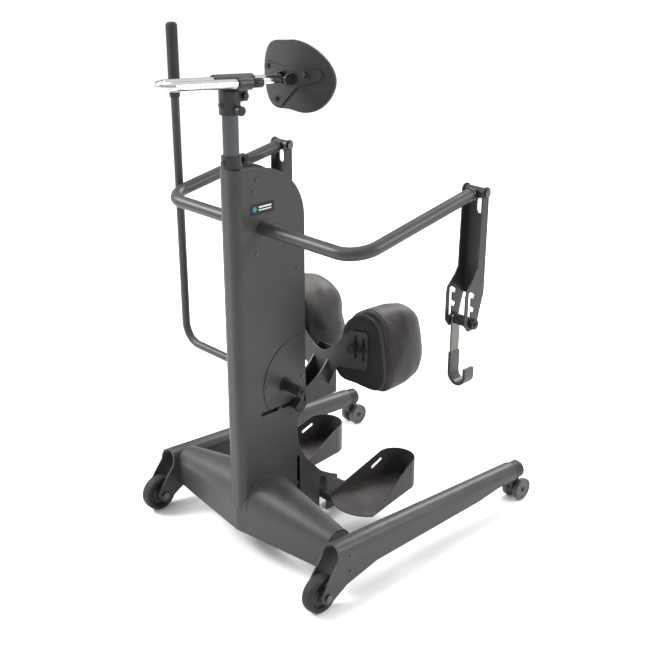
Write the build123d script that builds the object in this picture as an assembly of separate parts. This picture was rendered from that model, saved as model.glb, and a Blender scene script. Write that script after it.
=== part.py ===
from build123d import *
import os
from math import atan2, cos, degrees, radians, sin, sqrt

os.makedirs("parts", exist_ok=True)

# Sit-to-stand lift. Millimetres, +X to the operator's right, +Y from the mast towards the user,
# +Z up. Places are written from the point on the floor under the rear axle, and every piece is
# moved back by AHEAD when it is saved, so that the origin lies under the middle of the lift.
AHEAD = 317.3

# ---- driving dimensions -------------------------------------------------------------------------
# base
LEG_X = 330.0            # legs, rear wheels and casters stand this far out
LEG_R = 29.0             # round top and front end of a leg
LEG_WALL = 4.0
LEG_FRONT_Y = 738.0
LEG_FRONT_Z = 95.0
LEG_SLOPE = 45.0 / 673.0  # a leg falls this much towards its front end
LEG_SKIRT_Z = 80.0       # lower edge of the side walls
WHEEL_R = 50.0
WHEEL_W = 32.0
AXLE_Z = 50.0
LUG_R = 24.0
INSERT_END_Y = 776.0
SWIVEL_Y = 757.0
CASTER_TRAIL = 22.0
CASTER_R = 32.0
CASTER_GAP = 11.0        # half the space between the two wheels of a caster
CASTER_W = 15.0

# crossbeam: rear face, depth, top and bottom at the middle and at a leg
BEAM_WALL = 3.0
BEAM_MID = (13.0, 177.0, 222.0)
BEAM_END = (52.0, 128.0, 173.0)
BEAM_BOTTOM = 72.0

# mast
MAST_X = 32.0            # half width
MAST_REAR = 12.0
MAST_FRONT = 232.0
MAST_WALL = 2.5
MAST_ROUND = 25.0
MAST_TOP = 1037.0
RIM = 8.0                # the front cover lies this deep between the side walls

# arms and hydraulics
ARM_PIVOT = (96.0, 886.0)
ARM_TILT = 11.0
ARM_X = 350.0
ARM_R = 16.0
ARM_LENGTH = 384.0
ARM_REACH = 410.0        # from the arm pivot to the hanger pivot
ARM_BEND = 65.0
CRANK_R = 72.0
CRANK_REST = -12.5
ROLLER_R = 9.0
RAM_Y = 163.0
OPEN_GAP = 1.2           # clearance at the two open pivots of the hydraulics

# hangers and strap hooks
HANGER_HALF = 32.0
HANGER_WALL = 4.0
HOOK_DROP = (-28.0, -326.0)   # from the hanger pivot to the strap bar, (y, z)
HOOK_GAP_R = 24.0

# pump
PUMP_SHAFT = (160.0, 456.0)
PUMP_X = -380.0
PUMP_R = 11.0
GRIP_TOP = 1322.0
GRIP_LENGTH = 178.0
PUMP_CRANK_R = 50.0

# post and head
POST_Y = 34.5
POST_R = 19.05
COLLAR = (1037.0, 1066.0)
CLAMP = (1162.0, 1216.0)
BAR_R = 11.0
BAR_TILT = -4.5
BAR_SPREAD = 42.0
BAR_ORIGIN = (30.0, 1236.0)
PAD_PIVOT_Y = 208.0

# chest pad
PAD_CURVE = 256.0
PAD_BACK_Y = 214.0
PAD_SHELL = 6.0
PAD_CUSHION = 20.0
PAD_SETBACK = 14.0       # the cushion ends this far inside the shell's edge

# knee support
SLOT_Z = 395.0
KNEE_SLOT = ((141.0, SLOT_Z), 124.0, 10.6)   # middle (y, z), length and width
KNEE_PLATE_Y = 318.0
KNEE_PAD_Y = 332.0
KNEE_PAD_DEPTH = 178.0
# the knee pad's (depth, size) from its back to its rounded front, as shares of the whole
KNEE_DOME = ((0.0, 0.97), (0.05, 1.0), (0.45, 0.975), (0.7, 0.88), (0.88, 0.68), (1.0, 0.34))
KNEE_PAD_X = 141.0
KNEE_PAD_Z = 530.0
KNEE_STUDS = (131.0, 159.0)
KNEE_STUD_Z = 544.0

# foot support
FOOT_SLOT_Y = 204.0
FOOT_TUBE = (294.0, 78.0)
TRAY_FLOOR = 92.0
TRAY_X = 150.0
TRAY_TOE_Y = 288.0       # where the side walls start
TRAY_TOE_BOW = 36.0      # the floor bows this far beyond that
TRAY_LENGTH = 231.0      # from there to the heel
TRAY_HEIGHT = 82.0
TRAY_TOE_OUT = 2.1
TRAY_WALL = 2.6


# ---- helpers ------------------------------------------------------------------------------------
def save(name, *solids):
    """Write one node, moved so that the origin lies under the middle of the lift."""
    shape = solids[0] if len(solids) == 1 else Compound(children=list(solids))
    export_step(Pos(0, -AHEAD, 0) * shape, f"parts/{name}.step")


def single(shape):
    """The one solid that a boolean result holds."""
    return max(shape.solids(), key=lambda s: s.volume)


def block(x, y, z):
    """A box from three (low, high) pairs."""
    size = [pair[1] - pair[0] for pair in (x, y, z)]
    middle = [(pair[1] + pair[0]) / 2 for pair in (x, y, z)]
    return Pos(*middle) * Box(*size)


def rod(start, end, radius, bore=0.0):
    """A round bar or tube between two points."""
    path = Vector(*end) - Vector(*start)
    face = Circle(radius) - Circle(bore) if bore else Circle(radius)
    return extrude(Plane(origin=start, z_dir=path) * face, amount=path.length)


def cross_rod(yz, x0, x1, radius, bore=0.0):
    """A round bar or tube that runs along X."""
    return rod((x0, *yz), (x1, *yz), radius, bore)


def upright(x, y, z0, z1, radius, bore=0.0):
    """A round bar or tube that runs along Z."""
    return rod((x, y, z0), (x, y, z1), radius, bore)


def side_plate(face, x0, x1):
    """A flat shape drawn in (y, z), as thick as x0 to x1."""
    return extrude(Plane.YZ.offset(x0) * face, amount=x1 - x0)


def polygon(*points):
    """A closed flat shape with straight sides."""
    return make_face(Polyline(*points, close=True))


def tube_along(path, radius, bore=0.0):
    """A round tube that follows a path."""
    start = Plane(origin=path @ 0, z_dir=path % 0)
    outer = sweep(start * Circle(radius), path=path)
    return outer - sweep(start * Circle(bore), path=path) if bore else outer


def mirrored(shape):
    """The same piece on the other side of the lift."""
    return mirror(shape, about=Plane.YZ)


def screw_head(x, y, z, facing=1.0, radius=5.0, height=2.6):
    """A round screw head with a hexagon socket, standing on a wall that faces along X."""
    head = rod((x, y, z), (x + facing * height, y, z), radius)
    socket = extrude(
        Plane(origin=(x + facing * height, y, z),
        z_dir=(-facing, 0, 0)) * RegularPolygon(radius * 0.48, 6),
        amount=height * 0.6,
    )
    rim = head.edges().filter_by(GeomType.CIRCLE).sort_by(Axis.X)[-1 if facing > 0 else 0]
    return chamfer(rim, 0.8) - socket


def save_pair(name, right):
    """Write a piece of the right side, and its mirror image on the left."""
    save(f"{name}_right", *right)
    save(f"{name}_left", *[mirrored(piece) for piece in right])


# ---- base ---------------------------------------------------------------------------------------
def leg_axis(y):
    """Height of a leg's centre line."""
    return LEG_FRONT_Z + (LEG_FRONT_Y - y) * LEG_SLOPE


def leg_body(radius, drop):
    """The solid form of a leg: a sloping round bar with a skirt below it and a lug at the axle."""
    bar = rod((LEG_X, -10, leg_axis(-10)), (LEG_X, LEG_FRONT_Y, LEG_FRONT_Z), radius)
    skirt = polygon(
        (-LUG_R, AXLE_Z - drop), (-LUG_R, leg_axis(-LUG_R)), (LEG_FRONT_Y, LEG_FRONT_Z),
        (570, LEG_SKIRT_Z - drop), (170, LEG_SKIRT_Z - drop), (64, 58 - drop),
        (12, AXLE_Z - LUG_R + 3 - drop),
        (0, AXLE_Z - LUG_R - drop),
    )
    return bar + side_plate(skirt, LEG_X - radius, LEG_X + radius)


def make_leg():
    """A leg, open below and at the rear, where its walls form the fork of the rear wheel."""
    outer = leg_body(LEG_R, 0.0)
    inner = leg_body(LEG_R - LEG_WALL, 30.0)
    rear_edge = polygon((-60, 0), (-10, AXLE_Z - LUG_R + 2), (-22, AXLE_Z + 8), (8, 100),
        (34, 132), (48, 200), (-60, 240))
    leg = outer - inner - side_plate(rear_edge, LEG_X - 40, LEG_X + 40)
    leg -= cross_rod((0, AXLE_Z), LEG_X - 40, LEG_X + 40, 6.0)
    return single(leg)


def beam_section(plane_x, rear, front, top, inset, drop):
    """An arch, straight at the sides and half round on top."""
    radius = (front - rear) / 2 - inset
    middle = (front + rear) / 2
    spring = top - (front - rear) / 2
    low = BEAM_BOTTOM - drop
    outline = Polyline((middle - radius, spring), (middle - radius, low), (middle + radius, low),
        (middle + radius, spring))
    crown = ThreePointArc((middle + radius, spring), (middle, spring + radius),
        (middle - radius, spring))
    return Plane.YZ.offset(plane_x) * make_face(outline + crown)


def beam_form(inset, drop):
    """One half of the crossbeam as a solid form."""
    reach = LEG_X - LEG_R
    return loft([beam_section(0, *BEAM_MID, inset, drop),
        beam_section(reach, *BEAM_END, inset, drop)], ruled=True)


def mast_outline():
    """Side view of the mast, (y, z)."""
    tip = (96.0, MAST_TOP - 5)
    return make_face(
        Polyline((410, 22), (180, 22), (150, 104), (MAST_REAR, 104), (MAST_REAR, MAST_TOP), tip)
        + ThreePointArc(tip, (190, 989), (MAST_FRONT, 890))
        + Line((MAST_FRONT, 890), (MAST_FRONT, 430))
        + ThreePointArc((MAST_FRONT, 430), (222.5, 383), (204, 342))
        + ThreePointArc((204, 342), (204.5, 285), (262, 182))
        + ThreePointArc((262, 182), (322, 124), (410, 70))
        + Line((410, 70), (410, 22))
    )


def plan_prism(half, rear, corner):
    """The mast's plan as an upright solid, with round rear corners and no front."""
    plan = Rectangle(2 * half, 460, align=(Align.CENTER, Align.MIN))
    plan = fillet(plan.vertices().sort_by(Axis.Y)[:2], corner)
    return Pos(0, rear, 0) * extrude(plan, amount=1100)


def mast_solid():
    """The mast filled in."""
    return side_plate(mast_outline(), -MAST_X, MAST_X) & plan_prism(MAST_X, MAST_REAR, MAST_ROUND)


def level_slot(yz, length, width, x0, x1):
    """A slot along Y, centred on (y, z), cut between x0 and x1."""
    return side_plate(Pos(*yz) * SlotOverall(length, width), x0, x1)


def upright_slot(yz, length, width, x0, x1):
    """A slot along Z."""
    return side_plate(Pos(*yz) * Rot(Z=90) * SlotOverall(length, width), x0, x1)


def make_crossbeam():
    """The right half of the crossbeam, cut where the mast stands in it."""
    wall = beam_form(0.0, 0.0) - beam_form(BEAM_WALL, 20.0)
    spring = BEAM_MID[2] - (BEAM_MID[1] - BEAM_MID[0]) / 2
    above = block((-1, 60), (-50, 300), (spring, 300))
    inside = block((-1, MAST_X), (MAST_REAR + 12, 300), (0, 300))
    return single(wall - (mast_solid() & above) - inside)


def make_mast_shell():
    """The folded side and rear walls of the mast."""
    shell = mast_solid() - plan_prism(MAST_X - MAST_WALL, MAST_REAR + MAST_WALL, MAST_ROUND - MAST_WALL)
    spring = BEAM_MID[2] - (BEAM_MID[1] - BEAM_MID[0]) / 2
    beam = beam_form(0.0, 0.0)
    tucked = (beam + mirrored(beam)) & block((-60, 60), (0, MAST_REAR + 12), (0, spring))
    shell -= tucked + block((-60, 60), (-10, MAST_REAR + 6), (0, spring))
    shell -= cross_rod(ARM_PIVOT, -60, 60, ARM_R + 0.08)
    shell -= cross_rod(PUMP_SHAFT, -60, 60, PUMP_R + 0.06)
    shell -= level_slot(*KNEE_SLOT, -60, 60)
    shell -= upright_slot((FOOT_SLOT_Y, 163), 138, 10.6, -60, 60)
    shell -= side_plate(
        Pos(FOOT_TUBE[0], 0) * (Rectangle(26, 122, align=(Align.CENTER, Align.MIN)) + Pos(0,
        122) * Circle(13)), -60, 60
    )
    return single(shell)


def make_front_cover():
    """The cover strip that closes the mast's top and front, a rim's depth inside its side walls."""
    band = offset(mast_outline(), -RIM) - offset(mast_outline(), -RIM - MAST_WALL)
    half = MAST_X - MAST_WALL
    strip = side_plate(band, -half, half)
    keep = side_plate(
        polygon((MAST_REAR + MAST_WALL, 1100), (MAST_REAR + MAST_WALL, 1020), (60, 1010),
        (150, 800), (150, 300), (190, 60),
                (380, 60), (380, 40), (500, 40), (500, 1100)),
        -60, 60,
    )
    strip = strip & keep
    strip = strip & plan_prism(half, MAST_REAR + MAST_WALL, MAST_ROUND - MAST_WALL)
    strip -= upright(0, POST_Y, 900, 1100, POST_R + 0.5)
    strip -= block((-half + 0.3, half - 0.3), (180, 260), (362, 560))
    return single(strip)


# ---- arms and hydraulics ------------------------------------------------------------------------
def along_arm(distance):
    """(y, z) of a point on an arm's forward stretch."""
    return (ARM_PIVOT[0] + distance * cos(radians(ARM_TILT)),
        ARM_PIVOT[1] + distance * sin(radians(ARM_TILT)))


HANGER_PIVOT = along_arm(ARM_REACH)
STRAP_BAR = (HANGER_PIVOT[0] + HOOK_DROP[0], HANGER_PIVOT[1] + HOOK_DROP[1])


def make_arm():
    """A tube out of the mast's side and forward round one bend."""
    path = FilletPolyline(
        (15, *ARM_PIVOT), (ARM_X, *ARM_PIVOT), (ARM_X, *along_arm(ARM_LENGTH)), radius=ARM_BEND
    )
    return tube_along(path, ARM_R, ARM_R - 3)


def make_arm_fork():
    """The plug, cap, neck and bearing barrel at the front end of an arm."""
    plug = rod((ARM_X, *along_arm(ARM_LENGTH - 30)), (ARM_X, *along_arm(ARM_LENGTH)), ARM_R - 3)
    cap = rod((ARM_X, *along_arm(ARM_LENGTH)), (ARM_X, *along_arm(ARM_LENGTH + 5)), ARM_R + 1.5)
    neck = Pos(ARM_X, *along_arm(ARM_LENGTH + 14)) * Rot(X=ARM_TILT) * Box(26, 26, 20)
    barrel = cross_rod(HANGER_PIVOT, ARM_X - 27.5, ARM_X + 27.5, 12)
    return single(plug + cap + neck + barrel - cross_rod(HANGER_PIVOT, ARM_X - 40, ARM_X + 40, 5))


def make_arm_bolts():
    """Hanger pivot pins with their heads, and the bolt that holds each arm on the cross shaft."""
    pieces = []
    for side in (1, -1):
        pin = cross_rod(HANGER_PIVOT, side * (ARM_X - 32.4), side * (ARM_X + 32.4), 5)
        for x0, x1 in ((-37, -32.4), (32.4, 37)):
            pin += cross_rod(HANGER_PIVOT, side * (ARM_X + x0), side * (ARM_X + x1), 9)
        pieces.append(pin)
        head = upright(side * 76, ARM_PIVOT[0], ARM_PIVOT[1] + 14, ARM_PIVOT[1] + 20, 5.5)
        pieces.append(head - cross_rod(ARM_PIVOT, -100, 100, ARM_R))
    return pieces


def crank_point(radius):
    """(y, z) of a point along the lift crank at rest."""
    turn = radians(CRANK_REST)
    return (ARM_PIVOT[0] + radius * cos(turn), ARM_PIVOT[1] + radius * sin(turn))


def make_arm_crank():
    """The crank on the cross shaft, with the roller that the ram pushes."""
    hub = cross_rod(ARM_PIVOT, -14.5, 14.5, 24)
    lever = Pos(0, *crank_point(CRANK_R / 2)) * Rot(X=CRANK_REST) * Box(29, CRANK_R, 12)
    end = cross_rod(crank_point(CRANK_R), -14.5, 14.5, 6)
    crank = hub + lever + end - cross_rod(ARM_PIVOT, -20, 20, ARM_R - 3)
    crank -= cross_rod(crank_point(CRANK_R), -7, 7, ROLLER_R + 2.5)
    return single(crank), cross_rod(crank_point(CRANK_R), -6.6, 6.6, ROLLER_R + 2)


def make_ram_rod():
    """The ram's rod with its flat head."""
    top = crank_point(CRANK_R)[1] - ROLLER_R - 2 - OPEN_GAP
    return upright(0, RAM_Y, 640, top - 5, 10) + upright(0, RAM_Y, top - 10, top, 13)


def make_barrel():
    """The lift cylinder, standing on the pump block."""
    return upright(0, RAM_Y, 602, 800, 22) + upright(0, RAM_Y, 800, 812, 25) - upright(0, RAM_Y,
        608, 830, 10.06)


def make_pump_block():
    """The pump's body and the manifold that feeds the cylinder."""
    outline = polygon((82, 500), (138, 500), (138, 562), (188, 562), (188, 602), (82, 602))
    block_body = side_plate(outline, -22, 22)
    block_body -= upright(0, PUMP_SHAFT[0] - PUMP_CRANK_R, 480, 590, 6.06)
    return block_body


# ---- hangers and strap hooks --------------------------------------------------------------------
def make_hanger():
    """A channel with its web in front and notched flanges."""
    y, z = HANGER_PIVOT
    bar_y = y + HOOK_DROP[0]
    flange = polygon(
        (y + 10, z - 4), (y + 10, z - 252), (y - 3, z - 296), (y - 10, z - 326),
        (y - 20, z - 342), (y - 44, z - 343),
        (y - 58, z - 326), (y - 58, z - 252), (y - 54, z - 236), (y - 30, z - 212),
        (y - 17, z - 190), (y - 13, z - 10),
    ) + Pos(y, z) * Circle(15)
    outer = side_plate(flange, ARM_X - HANGER_HALF, ARM_X + HANGER_HALF)
    hollow = block(
        (ARM_X - HANGER_HALF + HANGER_WALL, ARM_X + HANGER_HALF - HANGER_WALL), (y - 80, y + 6),
        (z - 400, z + 40)
    )
    web_top = block((ARM_X - 28, ARM_X + 28), (y, y + 40), (z - 14, z + 40))
    window = Plane.XZ.offset(-y - 40) * Pos(ARM_X + 9, z - 36) * Rot(Z=90) * SlotOverall(38, 20)
    hole = Plane.XZ.offset(-y - 40) * Pos(ARM_X + 13, z - 161) * Circle(5)
    arch = Plane.XZ.offset(-y - 40) * (Pos(ARM_X,
        z - 278) * (Circle(24) + Pos(0, -40) * Rectangle(48, 80)))
    hanger = outer - hollow - web_top
    for opening in (window, hole, arch):
        hanger -= extrude(opening, amount=60)
    slot_y = y - 42
    notch = Pos(slot_y, z - 284) * Rot(Z=90) * SlotOverall(80, 11)
    reach = Vector(bar_y - slot_y, -9)
    for rise in (0, 36, 72):
        notch += Pos(slot_y + reach.X / 2, z + HOOK_DROP[1] + rise + 4.5) * Rot(
            Z=degrees(atan2(reach.Y, reach.X))
        ) * SlotCenterToCenter(reach.length, 11)
    hanger -= side_plate(notch, ARM_X - 60, ARM_X + 60)
    hanger -= cross_rod((bar_y, z + HOOK_DROP[1]), ARM_X - 60, ARM_X + 60, 5.6)
    hanger -= cross_rod(HANGER_PIVOT, ARM_X - 60, ARM_X + 60, 5.06)
    return single(hanger)


def make_strap_bar():
    """The roller between the flanges, its pin and its end hubs."""
    return (
        cross_rod(STRAP_BAR, ARM_X - 39, ARM_X + 45, 5)
        + cross_rod(STRAP_BAR, ARM_X - 19, ARM_X + 27.4, 13)
        + cross_rod(STRAP_BAR, ARM_X + 32.5, ARM_X + 41, 13)
        + cross_rod(STRAP_BAR, ARM_X - 38.5, ARM_X - 32.5, 9)
    )


def hook_strip(half_width, half_thick, top):
    """A strip bent to a J: down, round a half circle and a little way up."""
    x0 = ARM_X - 22
    low = STRAP_BAR[1] - 143
    line = Line((x0, top), (x0, low)) + ThreePointArc(
        (x0, low), (x0 + HOOK_GAP_R, low - HOOK_GAP_R), (x0 + 2 * HOOK_GAP_R, low)
    )
    path = line + Line((x0 + 2 * HOOK_GAP_R, low), (x0 + 2 * HOOK_GAP_R, low + 17 + half_thick))
    strip = trace(path, line_width=2 * half_thick)
    return extrude(Plane.XZ.offset(-STRAP_BAR[0] - half_width) * strip, amount=2 * half_width)


def make_strap_hook():
    """The hook's steel strip, and the cover over its lower part."""
    steel = hook_strip(15, 2.5, STRAP_BAR[1])
    steel += side_plate(Pos(*STRAP_BAR) * Circle(15), ARM_X - 24.5, ARM_X - 19.5)
    steel -= cross_rod(STRAP_BAR, ARM_X - 40, ARM_X, 5)
    cover = hook_strip(17, 4.5, STRAP_BAR[1] - 88) - steel
    return single(steel), single(cover)


# ---- pump ---------------------------------------------------------------------------------------
def make_pump_handle():
    """A tube out along X and up round one bend."""
    path = FilletPolyline(
        (-34.5, *PUMP_SHAFT), (PUMP_X, *PUMP_SHAFT), (PUMP_X, PUMP_SHAFT[0], GRIP_TOP - 8), radius=55
    )
    return tube_along(path, PUMP_R, PUMP_R - 2.5)


def make_pump_grip():
    """The foam grip with its domed end, and the ring under it."""
    top = (PUMP_X, PUMP_SHAFT[0])
    grip = upright(*top, GRIP_TOP - GRIP_LENGTH, GRIP_TOP, 15)
    grip = fillet(grip.edges().filter_by(GeomType.CIRCLE).sort_by(Axis.Z)[-1], 9)
    grip -= upright(*top, GRIP_TOP - GRIP_LENGTH - 5, GRIP_TOP - 8, PUMP_R)
    ring = upright(*top, GRIP_TOP - GRIP_LENGTH - 9, GRIP_TOP - GRIP_LENGTH, 13.5, PUMP_R)
    return grip, ring


def make_pump_crank():
    """The pump shaft with its crank and roller, and the black sleeve on its free end."""
    y, z = PUMP_SHAFT
    shaft = cross_rod(PUMP_SHAFT, -34.4, 98, PUMP_R) + cross_rod(PUMP_SHAFT, -62, -34, PUMP_R - 2.5)
    shaft += cross_rod(PUMP_SHAFT, 98, 104, 4.5)
    hub = cross_rod(PUMP_SHAFT, -13, 13, 19)
    lever = block((-10, 10), (y - PUMP_CRANK_R, y), (z - 6, z + 4))
    roller = cross_rod((y - PUMP_CRANK_R, z), -10, 10, 7)
    sleeve = cross_rod(PUMP_SHAFT, 40, 98, 13.5, PUMP_R)
    sleeve = chamfer(sleeve.edges().filter_by(GeomType.CIRCLE).sort_by(Axis.X)[-1], 1.0)
    return single(shaft + hub + lever + roller), sleeve


def make_piston():
    """The pump's piston with its foot plate."""
    y = PUMP_SHAFT[0] - PUMP_CRANK_R
    foot = PUMP_SHAFT[1] + 7 + OPEN_GAP
    return upright(0, y, foot, foot + 6, 12) + upright(0, y, foot + 6, 566, 6)


def make_pump_cover():
    """The half-round plate over the pump's side opening, with its lower edge above the knee slot."""
    y, z, bottom = 207.0, 460.0, SLOT_Z + 7
    plate = Pos(y, z) * Circle(118) & Pos(130, bottom) * Rectangle(200, 300,
        align=(Align.CENTER, Align.MIN))
    plate = fillet(plate.vertices().sort_by(Axis.Y)[0], 24)
    return single(side_plate(plate, MAST_X, MAST_X + 2) - cross_rod(PUMP_SHAFT, 0, 60, PUMP_R + 0.06))


# ---- post and head ------------------------------------------------------------------------------
def make_collar():
    """The split collar on top of the mast, with two ears in front."""
    low, high = COLLAR
    collar = upright(0, POST_Y, low, high, 24) + upright(0, POST_Y, low - 5.4, low, 19.9)
    collar += block((-9, 9), (POST_Y + 18, POST_Y + 42), (low + 5, high - 2))
    collar -= upright(0, POST_Y, low - 20, high + 10, POST_R + 0.05)
    collar -= block((-1.5, 1.5), (POST_Y + 10, POST_Y + 60), (low + 1, high + 5))
    collar -= cross_rod((POST_Y + 32, high - 12), -30, 30, 4.06)
    bolt = rod((0, POST_Y - 24, high - 14), (0, POST_Y - 28, high - 14), 5.5)
    return single(collar), bolt


def make_collar_lever():
    """The clamping lever of the collar."""
    y, z = POST_Y + 32, COLLAR[1] - 12
    lever = cross_rod((y, z), -14, 20, 4) + cross_rod((y, z), 9.4, 17, 8) + cross_rod((y, z), -14,
        -9.4, 7)
    arm = side_plate(Pos(y + 24, z) * SlotOverall(56, 11), 11, 16)
    return single(lever + arm)


def make_head_clamp():
    """The clamp on top of the post, with its ears, nut and the knob's boss."""
    low, high = CLAMP
    clamp = upright(0, POST_Y, low, high, 25)
    clamp += block((-10, 10), (POST_Y + 18, POST_Y + 46), (high - 28, high - 4))
    clamp += cross_rod((POST_Y, low + 12), 10, 29, 9)
    clamp -= upright(0, POST_Y, low - 20, high - 4, POST_R)
    clamp -= block((-1.5, 1.5), (POST_Y + 10, POST_Y + 60), (low - 1, high - 4))
    clamp -= cross_rod((POST_Y, low + 12), 10, 50, 4.06)
    nut = extrude(Plane(origin=(10, POST_Y + 35, high - 16), z_dir=(1, 0, 0)) * RegularPolygon(8,
        6), amount=8)
    bolt = rod((0, POST_Y - 24.6, low + 23), (0, POST_Y - 29, low + 23), 5.5)
    return single(clamp), nut, bolt


def make_head_knob():
    """The round knob that locks the head clamp."""
    z = CLAMP[0] + 12
    knob = cross_rod((POST_Y, z), 30, 45, 11)
    knob = fillet(knob.edges().filter_by(GeomType.CIRCLE), 2.5)
    return single(knob + cross_rod((POST_Y, z), 20, 32, 4))


def tilted(shape):
    """Turn a piece that is drawn level about the origin of the chest bar to the bar's own tilt."""
    return Pos(0, *BAR_ORIGIN) * Rot(X=BAR_TILT) * shape


def bar_point(y):
    """(y, z) of a point on the chest bar, at a distance ahead of the bar's origin."""
    turn = radians(BAR_TILT)
    return (BAR_ORIGIN[0] + y * cos(turn), BAR_ORIGIN[1] + y * sin(turn))


PAD_PIVOT = bar_point(PAD_PIVOT_Y - 42)


def make_head_tee():
    """Two sleeves for the chest bar, joined by a web, on a saddle."""
    tee = rod((0, -40, 0), (0, 70, 0), 16) + rod((BAR_SPREAD, -8, 0), (BAR_SPREAD, 31, 0), 15)
    tee += block((0, BAR_SPREAD), (-6, 29), (-7, 7))
    saddle = upright(0, POST_Y, CLAMP[1], BAR_ORIGIN[1], 19)
    tee = tilted(tee) + saddle
    for x in (0, BAR_SPREAD):
        tee -= tilted(rod((x, -60, 0), (x, 100, 0), BAR_R + 0.05))
    return single(tee)


def make_chest_bar():
    """The round bar: along the middle, back round a half circle and forward beside itself."""
    back = -175.0
    half = BAR_SPREAD / 2
    path = (
        Line((0, PAD_PIVOT_Y - 42 - 10, 0), (0, back, 0))
        + ThreePointArc((0, back, 0), (half, back - half, 0), (BAR_SPREAD, back, 0))
        + Line((BAR_SPREAD, back, 0), (BAR_SPREAD, 33, 0))
    )
    eye = cross_rod((PAD_PIVOT_Y - 42, 0), -15, 15, 10)
    bar = tube_along(path, BAR_R) + eye - cross_rod((PAD_PIVOT_Y - 42, 0), -20, 20, 4.06)
    plug = rod((BAR_SPREAD, 33, 0), (BAR_SPREAD, 66, 0), BAR_R - 0.4)
    return single(tilted(bar)), tilted(plug)


def pad_outline(inset):
    """The chest pad seen from the rear: round above, with two lobes below."""
    x = 1 - inset / 130
    low, high = 1146 + inset, 1310 - inset
    points = [(0, high), (69, high - 11), (107, 1268 - inset * 0.8), (123, 1228), (111, 1184),
        (85, 1157 + inset),
              (48, low), (0, low + 3)]
    right = [(u * x, v) for u, v in points]
    left = [(-u, v) for u, v in right[-2:0:-1]]
    return make_face(Spline(*right, *left, periodic=True))


def pad_layer(outer, inner, inset):
    """A curved layer of the chest pad between two radii."""
    axis_y = PAD_BACK_Y + PAD_CURVE
    curve = upright(0, axis_y, 1100, 1360, outer, inner)
    shape = extrude(Plane.XZ.offset(-150) * pad_outline(inset), amount=-160)
    return single(curve & shape)


def make_chest_bracket():
    """The three-armed curved plate behind the pad, its two lugs, the pivot pin and three screws."""
    axis_y = PAD_BACK_Y + PAD_CURVE
    arms = polygon((-96, 1250), (0, 1246), (92, 1250), (99, 1238), (92, 1226), (30, 1204),
        (-24, 1154), (-44, 1148),
                   (-58, 1158), (-62, 1178), (-72, 1214), (-98, 1232))
    curve = upright(0, axis_y, 1140, 1260, PAD_CURVE + 4, PAD_CURVE)
    plate = curve & extrude(Plane.XZ.offset(-150) * arms, amount=-110)
    y, z = PAD_PIVOT
    lug = polygon((y - 4, z - 11), (PAD_BACK_Y - 2, z - 15), (PAD_BACK_Y - 2, z + 15),
        (y - 4, z + 11)) + Pos(y, z) * Circle(11)
    for x in (-19.6, 15.4):
        plate += side_plate(lug, x, x + 4.2)
    plate += cross_rod(PAD_PIVOT, -22, 22, 4)
    screws = []
    for x, height in ((55, 1237), (-43, 1168), (-84, 1240)):
        rear = axis_y - sqrt((PAD_CURVE + 4) ** 2 - x**2)
        screws.append(rod((x, rear + 3, height), (x, rear - 6, height), 6.5) - curve)
    return [single(plate)] + [single(screw) for screw in screws]


# ---- knee support -------------------------------------------------------------------------------
def make_knee_carriage():
    """The slider inside the mast and the pin that guides it in the side slots."""
    slider = block((-20, 20), (76, 262), (SLOT_Z - 12, SLOT_Z + 12))
    slider += cross_rod((140, SLOT_Z), -35, 35, 5)
    slider -= cross_rod((190, SLOT_Z), -60, 60, 5.06)
    return single(slider)


def make_knee_knob():
    """The knob that clamps the slider, its stud running in the side slots."""
    stud = cross_rod((190, SLOT_Z), -31, 52, 5)
    washer = cross_rod((190, SLOT_Z), 34.4, 37, 12)
    star = Circle(15)
    for turn in range(0, 360, 90):
        star += Rot(Z=turn) * Pos(13, 0) * Circle(6.5)
    knob = extrude(Plane(origin=(42, 190, SLOT_Z), z_dir=(1, 0, 0)) * star, amount=20)
    boss = cross_rod((190, SLOT_Z), 36, 44, 9)
    return single(stud + washer + knob + boss)


def make_knee_saddle():
    """The box that comes out of the mast and the plate that carries both knee pads."""
    y = KNEE_PLATE_Y
    edge = (
        Polyline((112, 584), (165, 594), (172, 588), (172, 500), (163, 488), (64, 468), (34, 408),
        (-34, 408),
                 (-64, 468), (-163, 488), (-172, 500), (-172, 588), (-165, 594), (-112, 584))
        + Spline((-112, 584), (-58, 532), (0, 498), (58, 532), (112, 584))
    )
    plate = extrude(Plane.XZ.offset(-y - 2) * make_face(edge), amount=4)
    cheek = polygon((236, 372), (348, 372), (348, 505), (300, 520), (236, 520)) - Pos(196,
        560) * Circle(146)
    box = side_plate(cheek, 24, 28) + side_plate(cheek, -28, -24)
    box += block((-28, 28), (236, 348), (372, 375)) + block((-28, 28), (345, 348), (372, 503))
    box += block((-20, 20), (262, 316), (SLOT_Z - 12, SLOT_Z + 12))
    for side in (1, -1):
        for x in KNEE_STUDS:
            slot = Plane.XZ.offset(-y - 10) * Pos(side * x, KNEE_STUD_Z) * Rot(Z=90) * SlotOverall(64, 9)
            plate -= extrude(slot, amount=20)
    return single(plate + box)


def knee_outline(size):
    """A knee pad seen from the front: round above, flat below, and wider at its lower corners."""
    points = [(134, 641), (169, 648), (201, 635), (219, 599), (229, 555), (236, 509), (235, 468),
        (217, 438), (180, 429),
              (114, 429), (64, 432), (48, 447), (56, 490), (68, 535), (76, 582), (98, 619)]
    middle_x, middle_z = KNEE_PAD_X, KNEE_PAD_Z
    return make_face(
        Spline(*[(middle_x + (u - middle_x) * size, middle_z + (v - middle_z) * size) for u,
        v in points], periodic=True)
    )


def make_knee_pad():
    """A deep cushion with a domed front."""
    layers = [
        Plane.XZ.offset(-KNEE_PAD_Y - depth * KNEE_PAD_DEPTH) * knee_outline(size)
        for depth, size in KNEE_DOME
    ]
    return single(loft(layers, ruled=True))


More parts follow.
